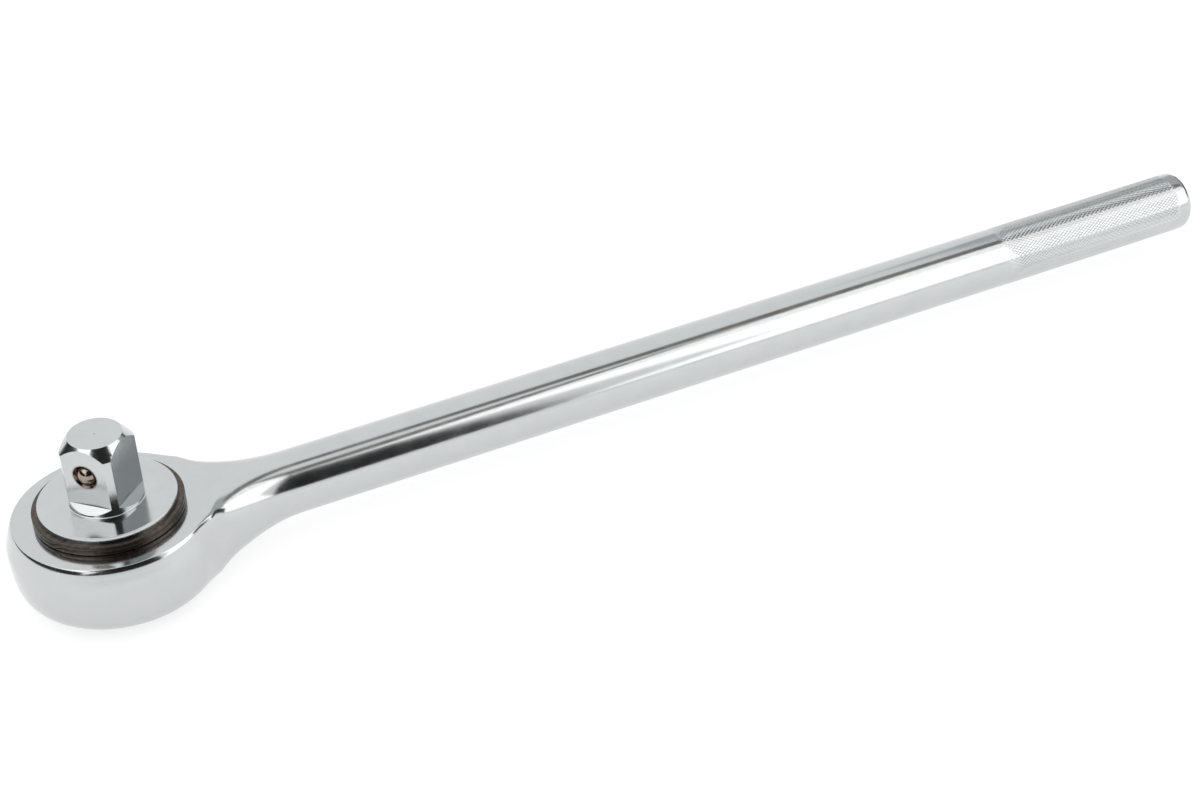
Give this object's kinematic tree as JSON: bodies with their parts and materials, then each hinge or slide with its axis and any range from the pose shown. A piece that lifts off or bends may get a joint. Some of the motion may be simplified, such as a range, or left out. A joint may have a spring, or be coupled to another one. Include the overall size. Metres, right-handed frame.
{
  "type": "ratchet wrench",
  "caption": "Long chromed reversible ratchet handle with a round head, male square drive with a detent ball, thumb reversing lever and knurled round grip.",
  "frame": {"origin": "where the drive axis meets the disc face that a socket rests on", "axes": "+X along the handle from the head to the grip's end, +Z out along the drive square, +Y to the left of the handle seen from the drive side"},
  "size_m": [0.466, 0.07, 0.0596],
  "materials": {
    "polished_chrome": "polished hard chrome over nickel on the forging",
    "drive_chrome": "satin chrome on turned and ground alloy steel",
    "oil_tempered_steel": "brown oil-tempered spring steel",
    "bearing_steel": "polished bearing steel with an oily bronze tint",
    "hardened_steel": "hardened and ground steel, lightly oiled",
    "spring_steel": "bright spring wire",
    "black_oxide": "black oxide on alloy steel",
    "nitrile_rubber": "moulded nitrile rubber"
  },
  "bodies": {
    "handle": {"ratchet_body": "polished_chrome"},
    "spindle": {"drive_spindle": "drive_chrome", "retaining_ring": "oil_tempered_steel", "back_plate": "drive_chrome", "back_plate_screws": "black_oxide", "dust_seal": "nitrile_rubber", "tightening_pawl_pin": "hardened_steel", "loosening_pawl_pin": "hardened_steel", "detent_ball_spring": "spring_steel", "tightening_pawl_spring": "spring_steel", "loosening_pawl_spring": "spring_steel"},
    "socket_ball": {"detent_ball": "bearing_steel"},
    "selector": {"selector_cam": "hardened_steel", "reversing_lever": "polished_chrome", "lever_screw": "black_oxide", "lever_washer": "spring_steel", "lever_detent_spring": "spring_steel"},
    "click_ball": {"lever_detent_ball": "bearing_steel"},
    "tightening_pawl": {"tightening_pawl": "hardened_steel"},
    "loosening_pawl": {"loosening_pawl": "hardened_steel"},
    "tightening_plunger": {"tightening_plunger": "hardened_steel"},
    "loosening_plunger": {"loosening_plunger": "hardened_steel"}
  },
  "joints": [
    {"name": "spindle_spin", "type": "hinge", "parent": "handle", "child": "spindle", "pos_m": [0, 0, 0], "axis": [0, 0, 1], "continuous": true},
    {"name": "socket_ball_press", "type": "slide", "parent": "spindle", "child": "socket_ball", "axis": [-0.7273, -0.6863, 0], "range_m": [-0.0012, 0], "stiffness_N_per_m": 400, "springref_m": 0.001, "deforming": ["detent_ball_spring"]},
    {"name": "reversing_lever_turn", "type": "hinge", "parent": "spindle", "child": "selector", "pos_m": [0, 0, 0], "axis": [0, 0, -1], "range_deg": [0, 50]},
    {"name": "click_ball_press", "type": "slide", "parent": "selector", "child": "click_ball", "axis": [0, 0, -1], "range_m": [-0.00035, 0], "stiffness_N_per_m": 300, "springref_m": -0.0008, "deforming": ["lever_detent_spring"]},
    {"name": "tightening_pawl_swing", "type": "hinge", "parent": "spindle", "child": "tightening_pawl", "pos_m": [0.00646, -0.0178, -0.019], "axis": [0, 0, -1], "range_deg": [0, 14]},
    {"name": "loosening_pawl_swing", "type": "hinge", "parent": "spindle", "child": "loosening_pawl", "pos_m": [-0.0174, 0.00748, -0.019], "axis": [0, 0, -1], "range_deg": [0, 14]},
    {"name": "tightening_plunger_slide", "type": "slide", "parent": "spindle", "child": "tightening_plunger", "axis": [0.9823, -0.1872, 0], "range_m": [0, 0.00331], "deforming": ["tightening_pawl_spring"]},
    {"name": "loosening_plunger_slide", "type": "slide", "parent": "spindle", "child": "loosening_plunger", "axis": [0.13, -0.9915, 0], "range_m": [0, 0.00331], "deforming": ["loosening_pawl_spring"]}
  ],
  "couplings": [
    {"joint": "tightening_pawl_swing", "follows": "reversing_lever_turn", "ratio": 0.28},
    {"joint": "loosening_pawl_swing", "follows": "reversing_lever_turn", "ratio": 0.28},
    {"joint": "tightening_plunger_slide", "follows": "reversing_lever_turn", "m_per_rad": 0.0037919},
    {"joint": "loosening_plunger_slide", "follows": "reversing_lever_turn", "m_per_rad": 0.0037919}
  ]
}
